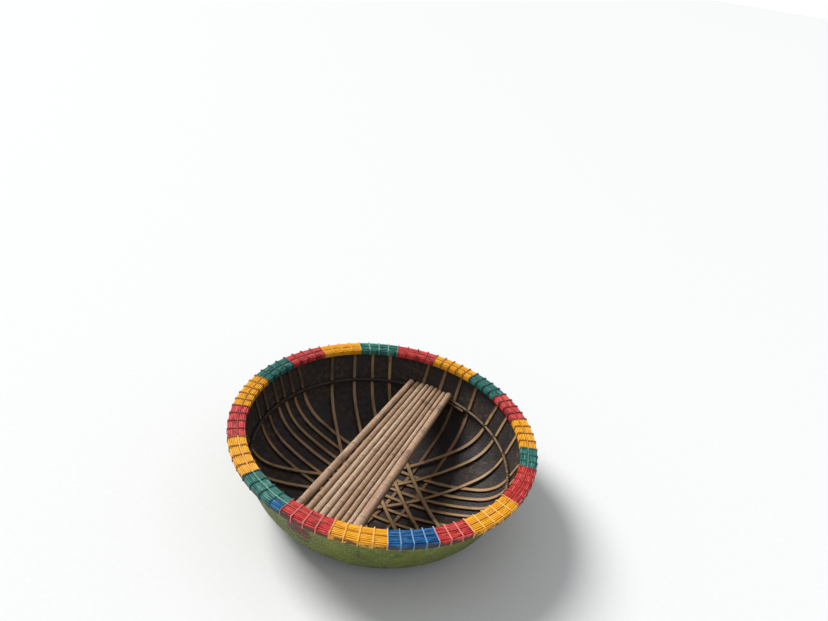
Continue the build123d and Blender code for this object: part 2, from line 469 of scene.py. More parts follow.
def strip_set(name, across):
    """All the strips that run one way, cut to the round blank."""
    repeats_across = 2 * math.ceil(mat_reach / repeat)
    repeats_along = repeats_across + 2
    strips = strip_repeat(name)
    begin_along = -(repeats_along / 2 + 1) * repeat
    begin_side = strip_pitch / 2 - repeats_across / 2 * repeat
    if across:
        strips.rotation_euler.z = math.pi / 2
        settle(strips)
        along_step, side_step = (0, repeat, 0), (repeat, 0, 0)
        begin = (begin_side, strip_pitch + begin_along, 0)
    else:
        along_step, side_step = (repeat, 0, 0), (0, repeat, 0)
        begin = (begin_along, begin_side, 0)
    carry_on(strips, repeats_along + 1, along_step, merge=True)
    carry_on(strips, 4, (strip_pitch, strip_pitch, 0))
    carry_on(strips, repeats_across, side_step)
    apply_modifiers(strips)
    strips.location = begin
    settle(strips)
    return strips


def cut_round(mesh, reach):
    """Cut a flat mat to a round blank with straight cuts, closing each cut strip."""
    open_mesh(mesh)
    for side in range(blank_sides):
        turn = 2 * math.pi * side / blank_sides
        outwards = (math.cos(turn), math.sin(turn), 0)
        bpy.ops.mesh.select_all(action="SELECT")
        bpy.ops.mesh.bisect(
            plane_co=(reach * outwards[0], reach * outwards[1], 0),
            plane_no=outwards,
            use_fill=True,
            clear_outer=True,
        )
    close_mesh()


def lay_out_pattern(mesh):
    """Keep the flat mat's own places as the piece's UV map, before it is pressed."""
    while mesh.data.uv_layers:
        mesh.data.uv_layers.remove(mesh.data.uv_layers[0])
    layer = mesh.data.uv_layers.new(name="flat_mat")
    corners = np.empty(len(mesh.data.loops), np.int32)
    mesh.data.loops.foreach_get("vertex_index", corners)
    places = np.empty(len(mesh.data.vertices) * 3, np.float32)
    mesh.data.vertices.foreach_get("co", places)
    layer.data.foreach_set("uv", places.reshape(-1, 3)[corners, :2].ravel())


# %% Both sets of strips
strips_along = strip_set("mat_strips_along", across=False)
strips_across = strip_set("mat_strips_across", across=True)
for strips in (strips_along, strips_across):
    cut_round(strips, mat_reach - edge_inset)
    lay_out_pattern(strips)
    print(strips.name, len(strips.data.polygons), "faces flat")

# %% [markdown]
# ## Pressing the mat into a bowl
# A round blank of rings stands for the mat. The strips are bound to it flat. Then each ring of the blank
# is moved and resized to its place on the bowl, and the woven strips follow, narrowed towards the rim as
# the real ones are. The blank itself becomes the coat of tar and resin that fills the weave.

# %% The blank, and the strips bound to it
blank_corners = 96
ring_count = 44
tar_thickness = 0.0024

ring_lengths = np.linspace(mat_reach, mat_reach / ring_count, ring_count)
bpy.ops.object.select_all(action="DESELECT")
bpy.ops.mesh.primitive_circle_add(vertices=blank_corners, radius=ring_lengths[0], fill_type="NGON")
blank = bpy.context.object
blank.name = "hull_tar"
open_mesh(blank)
bpy.ops.mesh.select_all(action="SELECT")
for larger, smaller in zip(ring_lengths, ring_lengths[1:]):
    bpy.ops.mesh.inset(thickness=(larger - smaller) * math.cos(math.pi / blank_corners), use_boundary=True)
bpy.ops.mesh.poke()
close_mesh()
lay_out_pattern(blank)

for strips in (strips_along, strips_across):
    press = strips.modifiers.new("press", "SURFACE_DEFORM")
    press.target = blank
    take(strips)
    bpy.ops.object.surfacedeform_bind(modifier="press")
    print(strips.name, "bound", press.is_bound)

# %% Press the rings
open_mesh(blank)
flat_radii = {vert.index: vert.co.xy.length for vert in bmesh.from_edit_mesh(blank.data).verts}
near_ring = mat_reach / ring_count / 3
for length in ring_lengths:
    pick(blank, "verts", lambda vert: abs(flat_radii[vert.index] - length) < near_ring)
    radius = float(np.interp(length, section_length, section[:, 0]))
    level = float(np.interp(length, section_length, section[:, 1]))
    bpy.ops.transform.resize(value=(radius / length, radius / length, 1), center_override=(0, 0, 0))
    bpy.ops.transform.translate(value=(0, 0, level))
pick(blank, "verts", lambda vert: flat_radii[vert.index] < near_ring)
bpy.ops.transform.translate(value=(0, 0, section[0, 1]))
close_mesh()
for strips in (strips_along, strips_across):
    apply_modifiers(strips)
coat = blank.modifiers.new("coat", "SOLIDIFY")
coat.thickness = tar_thickness
coat.offset = 0
apply_modifiers(blank)
turn_outwards(blank)
smooth(blank, 60)
smooth(strips_along, 40)
smooth(strips_across, 40)
print("hull", [round(x, 3) for x in blank.dimensions])

# %% [markdown]
# ## Colours round the rim
# The rim is painted in twenty stretches of colour, each a few bays of lashing long. The stretches are
# listed anticlockwise, in degrees, from the one that begins where the bench points away from the camera.

# %% Stretches of colour
first_stretch_angle = 91.9
red = paint(214, 56, 48)
deep_red = paint(220, 70, 66)
green = paint(44, 120, 108)
yellow = paint(250, 174, 14)
blue = paint(0, 100, 158)
stretches = (
    (18.5, deep_red), (18.0, green), (18.5, yellow), (17.8, deep_red), (17.4, green),
    (20.8, yellow), (18.7, deep_red), (19.9, yellow), (19.5, green), (17.5, red),
    (18.2, yellow), (16.2, blue), (12.3, red), (21.7, yellow), (20.3, red),
    (11.7, green), (18.5, yellow), (17.0, deep_red), (17.0, green), (20.5, yellow),
)
stretch_paints = [colour for _, colour in stretches]

# Each paint has a shadow tone, the tone of the bamboo where it has come off, and a pale tone of wear and
# painted highlight.
tones_of = {
    red: (paint(104, 22, 36), paint(58, 26, 40), paint(250, 178, 160)),
    deep_red: (paint(104, 26, 36), paint(70, 28, 36), paint(250, 178, 160)),
    yellow: (paint(140, 76, 20), paint(96, 50, 22), paint(255, 226, 160)),
    green: (paint(12, 60, 58), paint(16, 46, 50), paint(176, 228, 204)),
    blue: (paint(4, 42, 88), paint(16, 44, 70), paint(150, 196, 232)),
}
shadows, bare_tones, pale_tones = zip(*(tones_of[colour] for colour in stretch_paints))
borders = [0.0]
for width, _ in stretches:
    borders.append(borders[-1] + width / 360)
print("stretches close at", round(borders[-1] * 360, 1), "degrees")


def turn_of(angle):
    """An azimuth in degrees as a share of a turn from the first stretch."""
    return (angle - first_stretch_angle) / 360


def by_stretch(finish, turn, values):
    """Choose a value for each stretch of the rim, with a sharp border at each of its two ends."""
    chosen = finish.mix(0.0, values[0], values[0])
    for border, value in zip(borders[1:], values[1:]):
        chosen = finish.mix(finish.math("GREATER_THAN", turn, border), chosen, value)
    return chosen


def number_by_stretch(finish, turn, numbers):
    """Choose a number for each stretch, carried as a grey colour."""
    return by_stretch(finish, turn, [(number,) * 4 for number in numbers])


# %% [markdown]
# ## Finishes
# Tar inside, paint outside. The tar is brown-black, and thinner on some strips, whose bamboo shows. The
# olive paint outside is patchy, with one dark red patch under the rim.

# %% Mat finishes
red_patch_angle = 264.3
red_patch_level = 0.35


def strip_tone(finish, runs_along):
    """A number for each strip of the mat, from its place on the flat mat, and the fibres along it."""
    u, v = finish.map_of("flat_mat")
    beside, along = (v, u) if runs_along else (u, v)
    strip = finish.math("FLOOR", finish.math("DIVIDE", beside, strip_pitch))
    tone = finish.chance(finish.whole(strip, 0.0, 0.0))
    return tone, finish.grain(along, beside, 18.0, 900.0)


def mat_inside_finish(name, runs_along):
    """Tar, thin on some strips, so that their bamboo shows."""
    finish = Finish(name)
    tone, fibres = strip_tone(finish, runs_along)
    patches = finish.noise(finish.place, 5.0, 6.0, 0.6)
    tar_tones = ((0.0, paint(36, 29, 27)), (0.6, paint(52, 41, 36)), (1.0, paint(76, 58, 46)))
    colour = finish.ramp(tone, tar_tones)
    colour = finish.cover(colour, paint(100, 82, 60), fibres, 0.5, 0.8, 0.5)
    colour = finish.cover(colour, paint(32, 27, 25), patches, 0.4, 0.6, 0.75)
    rough = finish.span(patches, 0.35, 0.65, 0.8, 0.6)
    return finish.shade(colour, rough, finish.bump(fibres, 0.0006, 0.6))


def mat_outside_finish(name, runs_along):
    """Patchy olive paint, with drips, scuffs, one dark red patch, painted shade that darkens it downwards,
    and dark growth near the water.
    """
    finish = Finish(name)
    tone, fibres = strip_tone(finish, runs_along)
    patches = finish.noise(finish.place, 4.0, 6.0, 0.62)
    streaks = finish.noise(finish.stretch(finish.place, 14, 14, 3), 1.0, 5.0, 0.6)
    olive_tones = ((0.0, paint(92, 106, 38)), (0.5, paint(106, 120, 44)), (1.0, paint(126, 134, 54)))
    colour = finish.ramp(tone, olive_tones)
    colour = finish.cover(colour, paint(128, 134, 44), patches, 0.4, 0.66)
    colour = finish.cover(colour, paint(66, 74, 30), streaks, 0.56, 0.76, 0.5)
    colour = finish.cover(colour, paint(150, 140, 82), fibres, 0.56, 0.8, 0.5)
    turn, _, z = finish.round_the_boat()
    wobble = finish.times(finish.minus(patches, 0.5), 0.02)
    off_middle = finish.off(finish.plus(turn, wobble), turn_of(red_patch_angle))
    off_level = finish.off(finish.plus(z, wobble), red_patch_level)
    in_width = finish.span(off_middle, 0.013, 0.016, 1.0, 0.0)
    in_height = finish.span(off_level, 0.044, 0.054, 1.0, 0.0)
    colour = finish.mix(finish.times(in_width, in_height), colour, paint(112, 26, 26))
    # Painted shade: the olive darkens downwards, from 0.48 m to 0.16 m up.
    colour = finish.cover(colour, paint(74, 84, 36), z, 0.48, 0.16, 0.6)
    scuffs = finish.noise(finish.stretch(finish.place, 9, 9, 22), 1.0, 6.0, 0.66)
    colour = finish.cover(colour, paint(62, 58, 38), scuffs, 0.55, 0.64, 0.6)
    colour = finish.cover(colour, paint(148, 140, 92), scuffs, 0.4, 0.34, 0.4)
    drips = finish.grain(turn, z, 210.0, 4.0, 2.0, 5.0, 0.6)
    colour = finish.cover(colour, paint(60, 62, 36), drips, 0.54, 0.7, 0.5)
    slime = finish.span(finish.plus(z, finish.times(patches, -0.2)), -0.08, 0.1, 0.85, 0.0)
    colour = finish.mix(slime, colour, paint(40, 44, 28))
    return finish.shade(colour, finish.span(patches, 0.3, 0.7, 0.5, 0.7), finish.bump(fibres, 0.0006, 0.5))


# %% Dress the mat
def mat_sides(piece, runs_along):
    """Tar on the faces that look into the bowl and paint on the ones that look out."""
    tarred = mat_inside_finish(piece.name + "_tarred", runs_along)
    painted = mat_outside_finish(piece.name + "_painted", runs_along)
    fit_out(piece, [tarred, painted], ["hull_mat"])
    bowl_middle = Vector((0, 0, rim_top))
    for face in piece.data.polygons:
        face.material_index = 0 if face.normal.dot(bowl_middle - face.center) > 0 else 1


mat_sides(blank, True)
mat_sides(strips_along, True)
mat_sides(strips_across, False)

# %% [markdown]
# Bamboo needs fibres that run along the strip or the pole. A UV map made for each piece carries metres
# along and metres across, so the same finish fits a bent rib and a straight pole.

# %% Bamboo finish
strip_fibres_per_metre = 700.0
pole_fibres_per_metre = 420.0
strip_node_gap = 0.41


def age_strip(finish, colour, light, grime_and_shade, half_width):
    """A split strip has painted shade along its edges, a mark at each node, and rosy and worn stretches."""
    along, across = finish.map_of("along")
    # Painted shade: the strip darkens towards its long edges.
    edge = finish.span(finish.off(across, 0.0), half_width * 0.66, half_width * 0.95, 0.0, 0.85)
    colour = finish.mix(edge, colour, grime_and_shade)
    off_node = finish.off(finish.math("FRACT", finish.math("DIVIDE", along, strip_node_gap)), 0.5)
    colour = finish.mix(finish.span(off_node, 0.008, 0.02, 0.2, 0.0), colour, light)
    colour = finish.mix(finish.span(off_node, 0.002, 0.006, 0.4, 0.0), colour, grime_and_shade)
    rosy = finish.noise(finish.place, 4.3, 4.0, 0.6)
    colour = finish.cover(colour, paint(172, 132, 106), rosy, 0.45, 0.62, 0.6)
    worn = finish.grain(along, across, 6.5, 60.0, 9.0, 6.0, 0.68)
    return finish.cover(colour, grime_and_shade, worn, 0.52, 0.64, 0.6)


def age_pole(finish, colour, dark, light, grime_and_shade):
    """A round pole has specks, smears, three bands at each node, and painted shade on its sides and
    underside.
    """
    specks = finish.noise(finish.place, 150.0, 4.0, 0.66)
    smears = finish.noise(finish.place, 38.0, 5.0, 0.65)
    specked = finish.times(finish.span(specks, 0.5, 0.66), finish.span(smears, 0.42, 0.6, 0.2, 0.8))
    colour = finish.mix(specked, colour, grime_and_shade)
    colour = finish.cover(colour, dark, smears, 0.5, 0.7, 0.5)
    off_node, _ = finish.map_of("off_node")
    for middle, full, none, strength, tone in (
        (0.005, 0.002, 0.006, 0.5, light),
        (-0.0002, 0.0009, 0.0022, 0.6, grime_and_shade),
        (-0.012, 0.003, 0.012, 0.35, dark),
    ):
        band = finish.span(finish.off(off_node, middle), full, none, strength, 0.0)
        colour = finish.mix(band, colour, tone)
    # Painted shade: the more a face turns away from straight up, the more it takes the grime's colour.
    normal = finish.tree.nodes.new("ShaderNodeTexCoord").outputs["Normal"]
    facing_up = finish.parts(normal)[2]
    return finish.cover(colour, grime_and_shade, facing_up, 0.85, -0.05, 0.92)


def bamboo_finish(name, tones, grime_and_shade, fibre_depth, gloss, half_width=None, dark_stretch=None):
    """Bamboo with fibres along its UV map: three tones, dark to light, and the colour of its grime and
    painted shade.
    A split strip has a half width. A darker stretch round the boat has an azimuth, two half sweeps in
    degrees, two heights and a strength."""
    finish = Finish(name)
    along, across = finish.map_of("along")
    fibre_scale = pole_fibres_per_metre if half_width is None else strip_fibres_per_metre
    fibres = finish.grain(along, across, 5.0, fibre_scale, 0.0, 3.0, 0.5)
    stains = finish.grain(along, across, 3.0, 30.0, 3.0, 6.0, 0.62)
    patches = finish.noise(finish.place, 7.0, 6.0, 0.62)
    dark, middle, light = tones
    colour = finish.ramp(fibres, ((0.3, dark), (0.5, middle), (0.72, light)))
    colour = finish.cover(colour, dark, stains, 0.5, 0.72, 0.6)
    colour = finish.cover(colour, grime_and_shade, patches, 0.52, 0.7, 0.7)
    if half_width is None:
        colour = age_pole(finish, colour, dark, light, grime_and_shade)
    else:
        colour = age_strip(finish, colour, light, grime_and_shade, half_width)
    if dark_stretch is not None:
        # Over one stretch round the boat, and above a height, the bamboo darkens to the grime's colour.
        dark_stretch_angle, full, none, low, high, strength = dark_stretch
        turn, _, z = finish.round_the_boat()
        beside = finish.span(finish.off(turn, turn_of(dark_stretch_angle)), full / 360, none / 360, strength, 0.0)
        colour = finish.mix(finish.times(beside, finish.span(z, low, high)), colour, grime_and_shade)
    rough = finish.span(patches, 0.35, 0.65, gloss, gloss + 0.25)
    return finish.shade(colour, rough, finish.bump(fibres, fibre_depth, 0.6))


# %% [markdown]
# ## Ribs
# The ribs are split strips that lie in four layers. Each copies its CAD solid, so the layers still rest
# on each other, and has its long edges rounded as a knife leaves them.

# %% UV maps
def corner_verts(obj):
    """The vertex that each corner of each face uses."""
    corners = np.empty(len(obj.data.loops), np.int32)
    obj.data.loops.foreach_get("vertex_index", corners)
    return corners


def lay_map(obj, along, across, girth=None):
    """Make a UV map of metres along and across a piece. Round a pole of this girth, no face is torn."""
    mesh = obj.data
    corners = corner_verts(obj)
    starts = np.empty(len(mesh.polygons), np.int32)
    mesh.polygons.foreach_get("loop_start", starts)
    counts = np.empty(len(mesh.polygons), np.int32)
    mesh.polygons.foreach_get("loop_total", counts)
    beside = across[corners]
    if girth is not None:
        first = np.repeat(across[corners[starts]], counts)
        beside = first + (beside - first + girth / 2) % girth - girth / 2
    while mesh.uv_layers:
        mesh.uv_layers.remove(mesh.uv_layers[0])
    layer = mesh.uv_layers.new(name="along")
    layer.data.foreach_set("uv", np.stack((along[corners], beside), axis=1).astype(np.float32).ravel())


def lay_nodes(obj, along, nodes):
    """A second UV map: metres from the nearest node."""
    corners = corner_verts(obj)
    off = along[:, None] - np.array(nodes)[None, :]
    nearest = off[np.arange(len(along)), np.abs(off).argmin(axis=1)]
    pairs = np.stack((nearest[corners], np.zeros(len(corners))), axis=1)
    obj.data.uv_layers.new(name="off_node").data.foreach_set("uv", pairs.astype(np.float32).ravel())


def lay_rib(obj):
    """Give a rib's piece its map of metres along and across it."""
    places = vert_places(obj)
    flat = places[:, :2] - places[:, :2].mean(axis=0)
    direction = np.linalg.svd(flat, full_matrices=False)[2][0]
    across = places[:, :2] @ np.array((-direction[1], direction[0]))
    reach = np.linalg.norm(places[:, :2], axis=1)
    along = np.interp(reach + places[:, 2], section.sum(axis=1), section_length)
    along *= np.sign(places[:, :2] @ direction)
    lay_map(obj, along + random.uniform(0, 40), across - across.mean())


# %% Ribs
rib_half_width = 0.0125
rib_dark_stretch = (178, 30, 66, 0.24, 0.36, 0.85)

# Start of the nodes' names, name of the finish, and screen colours: dark, middle, light, and grime and
# painted shade
rib_tones = (
    ("rib_along", "rib_dark", (92, 66, 40), (136, 102, 64), (168, 134, 88), (52, 38, 27)),
    ("rib_across", "rib_brown", (112, 82, 50), (166, 128, 82), (200, 164, 112), (62, 45, 31)),
    ("rib_slant", "rib_tan", (118, 88, 54), (174, 138, 90), (206, 172, 120), (66, 49, 34)),
)
rib_finishes = {}
for prefix, name, *screen_colours in rib_tones:
    *tones, grime_and_shade = [paint(*screen_colour) for screen_colour in screen_colours]
    rib_finishes[prefix] = bamboo_finish(name, tones, grime_and_shade, 0.0004, 0.5, rib_half_width, rib_dark_stretch)
random.seed(11)
for node in sorted(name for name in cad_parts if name.startswith("rib_")):
    rib = own_copy(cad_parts[node], node + "_strip")
    turn_outwards(rib)
    edges = rib.modifiers.new("knife_edges", "BEVEL")
    edges.width = 0.0018
    edges.segments = 2
    edges.limit_method = "ANGLE"
    edges.angle_limit = math.radians(50)
    apply_modifiers(rib)
    lay_rib(rib)
    smooth(rib, 30)
    finish = next(finish for prefix, finish in rib_finishes.items() if node.startswith(prefix))
    fit_out(rib, [finish], [node])

# %% [markdown]
# ## Hoop
# The hoop is a thin round pole bent to a ring that almost closes, and a second pole bridges its gap. A
# circle is spun round the boat's axis, its ends are closed, and nodes are raised from rings of points.

# %% Hoop and splice
hoop_low, hoop_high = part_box("hoop_pole")
hoop_level = (hoop_low.z + hoop_high.z) / 2
hoop_pole_radius = (hoop_high.z - hoop_low.z) / 2
hoop_radius = hoop_high.x - hoop_pole_radius
splice_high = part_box("hoop_splice")[1]
splice_radius = max(np.linalg.norm(cad_points("hoop_splice")[:, :2], axis=1)) - hoop_pole_radius
splice_level = splice_high.z - hoop_pole_radius
pole_sides = 20
steps_per_degree = 2.2
node_gap = 0.31
hoop_gap_middle = 86.0
hoop_sweep = 348.0
splice_sweep = 34.0
map_seam_angle = 92

# Rings beside a node's middle, and how far each is raised
node_ridge = ((-2, 0.0004), (-1, 0.0012), (0, 0.0004), (1, 0.0012), (2, 0.0007), (3, 0.0003))


def turned_from(obj, first_angle):
    """How far each vertex is turned from an arc's first angle, with room for a little before it."""
    return (azimuth(vert_places(obj)) - first_angle + 5) % 360 - 5


def bent_pole(name, reach, level, first_angle, sweep):
    """A bent pole on an arc about the boat's axis, with a ridge at each node and closed ends."""
    steps = int(sweep * steps_per_degree)
    bpy.ops.object.select_all(action="DESELECT")
    bpy.ops.mesh.primitive_circle_add(
        vertices=pole_sides,
        radius=hoop_pole_radius - 0.0012,
        location=(reach, 0, level),
        rotation=(math.pi / 2, 0, 0),
    )
    pole = bpy.context.object
    pole.name = name
    settle(pole)
    spin_round(pole, steps, first_angle, sweep)
    ring = np.rint(turned_from(pole, first_angle) / sweep * steps).astype(int)
    node_count = int(math.radians(sweep) * reach / node_gap)
    middles = [round(steps * (k + 0.5) / node_count) + random.randint(-6, 6) for k in range(node_count)]
    open_mesh(pole)
    for middle in middles:
        for offset, rise in node_ridge:
            pick(pole, "verts", lambda vert: ring[vert.index] == middle + offset)
            bpy.ops.transform.shrink_fatten(value=rise)
    pick(pole, "edges", lambda edge: edge.is_boundary)
    bpy.ops.mesh.fill_holes(sides=0)
    close_mesh()
    lay_round(pole, reach, level)
    step_length = math.radians(sweep) * reach / steps
    along = turned_from(pole, first_angle) / sweep * steps * step_length
    lay_nodes(pole, along, [middle * step_length for middle in middles])
    return pole


def lay_round(obj, reach, level):
    """Give a bent pole its map of metres along and round it."""
    places = vert_places(obj)
    along = np.radians((azimuth(places) - map_seam_angle) % 360) * reach
    angle = np.arctan2(places[:, 2] - level, np.linalg.norm(places[:, :2], axis=1) - reach)
    lay_map(obj, along, angle * hoop_pole_radius, 2 * math.pi * hoop_pole_radius)


hoop_tones = (paint(78, 58, 40), paint(120, 94, 64), paint(152, 124, 88))
hoop_dark_stretch = (165, 50, 88, -1.0, -0.5, 0.92)
hoop_finish = bamboo_finish("hoop_bamboo", hoop_tones, paint(48, 38, 30), 0.0002, 0.5, dark_stretch=hoop_dark_stretch)
hoop_start = hoop_gap_middle + (360 - hoop_sweep) / 2
hoop = bent_pole("hoop", hoop_radius, hoop_level, hoop_start, hoop_sweep)
splice = bent_pole("splice", splice_radius, splice_level, hoop_gap_middle - splice_sweep / 2, splice_sweep)
for pole, node in ((hoop, "hoop_pole"), (splice, "hoop_splice")):
    smooth(pole, 40)
    fit_out(pole, [hoop_finish], [node])
print("hoop radius", round(hoop_radius, 4), "splice radius", round(splice_radius, 4))

# %% [markdown]
# ## Bench
# Nine poles lie side by side on the hoop, each a bamboo stem thicker at one end. A pole starts as a
# circle at its butt, and is extruded from station to station. The stations crowd together at a node,
# where the stem swells, dips at the scar of the old sheath and rises again.

# %% Bench poles
# Metres along from a node's middle, and the stem's rise there
node_profile = (
    (-0.030, 0.0000), (-0.012, 0.0004), (-0.0045, 0.0012), (-0.0022, 0.0014), (-0.0010, 0.0006),
    (0.0002, 0.0004), (0.0014, 0.0012), (0.0034, 0.0015), (0.0070, 0.0009), (0.0150, 0.0003),
    (0.0320, 0.0000),
)
node_half_length = 0.033
longest_step = 0.045
bench_sides = 28
pole_wall = 0.006
hollow_depth = 0.045
outer_rounding = 0.001
inner_rounding = 0.0006
same_station = 0.0003


def read_pole(node):
    """A CAD pole's butt and axis, and its radius at each station along it, outside its hollow ends."""
    points = cad_points(node)
    middle = points.mean(axis=0)
    axis = np.linalg.svd(points - middle, full_matrices=False)[2][0]
    axis = axis if axis[1] > 0 else -axis
    run = (points - middle) @ axis
    butt, tip = (
        (points[near].min(axis=0) + points[near].max(axis=0)) / 2
        for near in (run < run.min() + 0.002, run > run.max() - 0.002)
    )
    length = np.linalg.norm(tip - butt)
    axis = (tip - butt) / length
    along = (points - butt) @ axis
    off_axis = np.linalg.norm(points - butt - np.outer(along, axis), axis=1)
    stations = []
    for place in np.unique(along.round(4)):
        in_hollow = min(abs(place - hollow_depth), abs(length - place - hollow_depth)) < same_station
        if not in_hollow:
            stations.append((float(place), float(off_axis[np.abs(along - place) < same_station].max())))
    return butt, axis, stations


def ridges_of(cad_stations):
    """The stations that stand out from both of their neighbours: the nodes of the CAD pole."""
    inner = zip(cad_stations, cad_stations[1:], cad_stations[2:])
    return [here for before, here, after in inner if here[1] > before[1] and here[1] > after[1]]


def stem_stations(cad_stations):
    """Stations of a real stem: the CAD pole's internodes, with the shape of a node at each of its ridges."""
    places = [place for place, radius in cad_stations]
    radii = [radius for place, radius in cad_stations]
    length = places[-1]
    butt_bore = radii[0] - pole_wall
    tip_bore = radii[-1] - pole_wall
    stem = [(hollow_depth, butt_bore), (inner_rounding, butt_bore), (0.0, butt_bore + inner_rounding)]
    stem += [(0.0, radii[0] - outer_rounding), (outer_rounding, radii[0])]
    here = outer_rounding
    for ridge in [place for place, _ in ridges_of(cad_stations)] + [None]:
        stop = length - outer_rounding if ridge is None else ridge - node_half_length
        before = float(np.interp(stop, places, radii))
        fills = max(1, round((stop - here) / longest_step))
        for fill in range(1, fills + 1):
            stem.append((here + (stop - here) * fill / fills, before + random.uniform(-0.00025, 0.0001)))
        if ridge is None:
            break
        after = float(np.interp(ridge + node_half_length, places, radii))
        for offset, rise in node_profile:
            stem.append((ridge + offset, (before if offset < -0.001 else after) + rise))
        here = ridge + node_half_length
    stem += [(length, radii[-1] - outer_rounding), (length, tip_bore + inner_rounding)]
    stem += [(length - inner_rounding, tip_bore), (length - hollow_depth, tip_bore)]
    return stem


def build_stem(name, stem):
    """Extrude a circle from station to station along Y."""
    bpy.ops.object.select_all(action="DESELECT")
    first_place, first_radius = stem[0]
    bpy.ops.mesh.primitive_circle_add(
        vertices=bench_sides,
        radius=first_radius,
        fill_type="NGON",
        location=(0, first_place, 0),
        rotation=(math.pi / 2, 0, 0),
    )
    pole = bpy.context.object
    pole.name = name
    settle(pole)
    open_mesh(pole)
    bpy.ops.mesh.select_all(action="SELECT")
    for (last, last_radius), (place, radius) in zip(stem, stem[1:]):
        widen = radius / last_radius
        bpy.ops.mesh.extrude_region_move(TRANSFORM_OT_translate={"value": (0, place - last, 0)})
        bpy.ops.transform.resize(value=(widen, 1, widen), center_override=(0, place, 0))
    close_mesh()
    return pole


pole_tones = (
    (paint(134, 100, 76), paint(184, 148, 118), paint(216, 188, 158)),
    (paint(142, 110, 86), paint(192, 160, 130), paint(222, 198, 170)),
    (paint(124, 92, 68), paint(172, 136, 106), paint(206, 176, 142)),
)
pole_grime_and_shade = paint(90, 66, 48)
pole_finishes = [
    bamboo_finish(f"bench_bamboo_{number}", tones, pole_grime_and_shade, 0.0001, 0.42)
    for number, tones in enumerate(pole_tones, 1)
]
random.seed(23)
bench_nodes = sorted(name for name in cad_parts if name.startswith("bench_pole_"))
for number, node in enumerate(bench_nodes):
    butt, axis, cad_stations = read_pole(node)
    pole = build_stem(f"bench_stem_{number + 1}", stem_stations(cad_stations))
    turn_outwards(pole)
    places = vert_places(pole)
    radius = cad_stations[0][1]
    angle = np.arctan2(places[:, 2], places[:, 0]) + random.uniform(0, 6)
    lay_map(pole, places[:, 1] + random.uniform(0, 40), angle * radius, 2 * math.pi * radius)
    lay_nodes(pole, places[:, 1], [place for place, _ in ridges_of(cad_stations)])
    turned = Vector((0, 1, 0)).rotation_difference(Vector(axis)).to_matrix().to_4x4()
    pole.matrix_world = Matrix.Translation(Vector(butt)) @ turned
    settle(pole)
    smooth(pole, 40)
    which = (number * 2 + number // 3) % len(pole_finishes)
    fit_out(pole, [pole_finishes[which]], [node])

# %% [markdown]
# ## Rim
# The rim is two bundles of standing laths with a flat cane between them. Each lath starts as a flat
# rectangle, has its corners bevelled, and is spun round the boat in two lengths that all but meet.

# %% Laths and cap
lath_steps_per_degree = 0.9
lath_end_gap = 0.06


def walls(points):
    """The distances from the axis at which a ring node has its walls."""
    found = []
    for reach in np.unique(np.linalg.norm(points[:, :2], axis=1).round(4)):
        if not found or reach - found[-1] > 0.0002:
            found.append(float(reach))
    return found


def lay_lath(lath, middle, high):
    """Give a lath its map of metres along and across it, and a map of the distance from its top's middle."""
    places = vert_places(lath)
    reach = np.linalg.norm(places[:, :2], axis=1)
    along = np.radians((azimuth(places) - first_stretch_angle) % 360) * middle
    lay_map(lath, along + random.uniform(0, 40), reach + places[:, 2])
    off_top = np.stack((reach - middle, places[:, 2] - high), axis=1)[corner_verts(lath)]
    lath.data.uv_layers.new(name="off_top").data.foreach_set("uv", off_top.astype(np.float32).ravel())


def bent_lath(name, inside, outside, low, high, first_angle, sweep, corner):
    """One length of lath, standing on edge and bent round the boat."""
    bpy.ops.object.select_all(action="DESELECT")
    middle = (inside + outside) / 2
    centre = (middle, 0, (low + high) / 2)
    bpy.ops.mesh.primitive_plane_add(size=1, location=centre, rotation=(math.pi / 2, 0, 0))
    lath = bpy.context.object
    lath.name = name
    lath.scale = (outside - inside, high - low, 1)
    settle(lath)
    open_mesh(lath)
    bpy.ops.mesh.select_all(action="SELECT")
    bpy.ops.mesh.bevel(offset=corner, segments=2, affect="VERTICES", offset_type="OFFSET")
    close_mesh()
    spin_round(lath, round(sweep * lath_steps_per_degree), first_angle, sweep)
    lay_lath(lath, middle, high)
    phases = [random.uniform(0, 2 * math.pi) for _ in range(4)]
    for vert in lath.data.vertices:
        turn = math.atan2(vert.co.y, vert.co.x)
        sag = 0.5 + 0.3 * math.sin(5 * turn + phases[0]) + 0.2 * math.sin(13 * turn + phases[1])
        lean = 0.5 * math.sin(7 * turn + phases[2]) + 0.5 * math.sin(19 * turn + phases[3])
        reach = vert.co.xy.length
        vert.co.xy *= (reach + 0.0002 * lean) / reach
        if vert.co.z > (low + high) / 2:
            vert.co.z -= 0.0011 * sag
    return lath


# %% [markdown]
# The rim's paint is brushed in stretches along the laths. Each lath has its own tone, dirt and painted
# shade lie in the grooves between them, and low on the outer face the paint has come off, on some
# stretches more.

# %% Rim paint
blue_bay_first = 256.1
blue_bay_last = 261.0
blue_bay_inside = 0.947
outer_face_from = 0.985
outer_face_full = 0.995
bare_from_level = 0.527
bare_full_level = 0.522
lath_unevenness = {red: 0.7, deep_red: 0.7, yellow: 0.25, green: 0.7, blue: 0.7}
peeling_share = {red: 0.3, deep_red: 0.04, yellow: 0.03, green: 0.08, blue: 0.16}


def painted_stretches(finish, turn, reach, brush):
    """The fresh paint: ragged borders along the brush strokes, and the half bay of blue."""
    ragged = finish.times(finish.minus(brush, 0.5), 0.0022)
    colour = by_stretch(finish, finish.plus(turn, ragged), stretch_paints)
    after_first = finish.math("GREATER_THAN", turn, turn_of(blue_bay_first))
    before_last = finish.math("LESS_THAN", turn, turn_of(blue_bay_last))
    in_bay = finish.times(after_first, before_last)
    in_bay = finish.times(in_bay, finish.math("GREATER_THAN", reach, blue_bay_inside))
    return finish.mix(in_bay, colour, blue)


